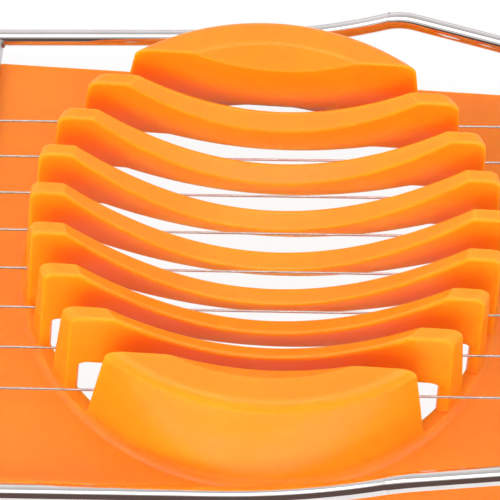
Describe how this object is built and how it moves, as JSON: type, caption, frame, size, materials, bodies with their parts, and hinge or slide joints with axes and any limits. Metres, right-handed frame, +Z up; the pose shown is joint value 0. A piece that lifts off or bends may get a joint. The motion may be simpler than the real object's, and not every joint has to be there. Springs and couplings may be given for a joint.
{
  "type": "egg slicer",
  "caption": "Egg slicer: a moulded tray with a round slotted cradle, and a hinged bow of bent rod strung with cutting wires that closes over it to slice a boiled egg.",
  "frame": {"origin": "middle of the footprint on the table, with the bow slightly open as shown", "axes": "+X along the wires towards the handle, +Y across the wires, +Z up from the table"},
  "size_m": [0.1248, 0.0786, 0.0219],
  "materials": {
    "orange_plastic": "satin moulded, slightly translucent",
    "chromed_rod": "polished",
    "bar_steel": "rolled strip",
    "wire_steel": "drawn wire",
    "ferrule_steel": "crimped"
  },
  "bodies": {
    "tray": {"base": "orange_plastic"},
    "bow": {"bow_rod": "chromed_rod", "rear_wire_bar": "bar_steel", "front_wire_bar": "bar_steel", "cutting_wire_1": "wire_steel", "cutting_wire_2": "wire_steel", "cutting_wire_3": "wire_steel", "cutting_wire_4": "wire_steel", "cutting_wire_5": "wire_steel", "cutting_wire_6": "wire_steel", "cutting_wire_7": "wire_steel", "cutting_wire_8": "wire_steel", "rear_ferrule_1": "ferrule_steel", "rear_ferrule_2": "ferrule_steel", "rear_ferrule_3": "ferrule_steel", "rear_ferrule_4": "ferrule_steel", "rear_ferrule_5": "ferrule_steel", "rear_ferrule_6": "ferrule_steel", "rear_ferrule_7": "ferrule_steel", "rear_ferrule_8": "ferrule_steel", "front_ferrule_1": "ferrule_steel", "front_ferrule_2": "ferrule_steel", "front_ferrule_3": "ferrule_steel", "front_ferrule_4": "ferrule_steel", "front_ferrule_5": "ferrule_steel", "front_ferrule_6": "ferrule_steel", "front_ferrule_7": "ferrule_steel", "front_ferrule_8": "ferrule_steel"}
  },
  "joints": [
    {"name": "bow_hinge", "type": "hinge", "parent": "tray", "child": "bow", "pos_m": [-0.05139, 0, 0.0057], "axis": [0, -1, 0], "range_deg": [-4.65, 145]}
  ]
}
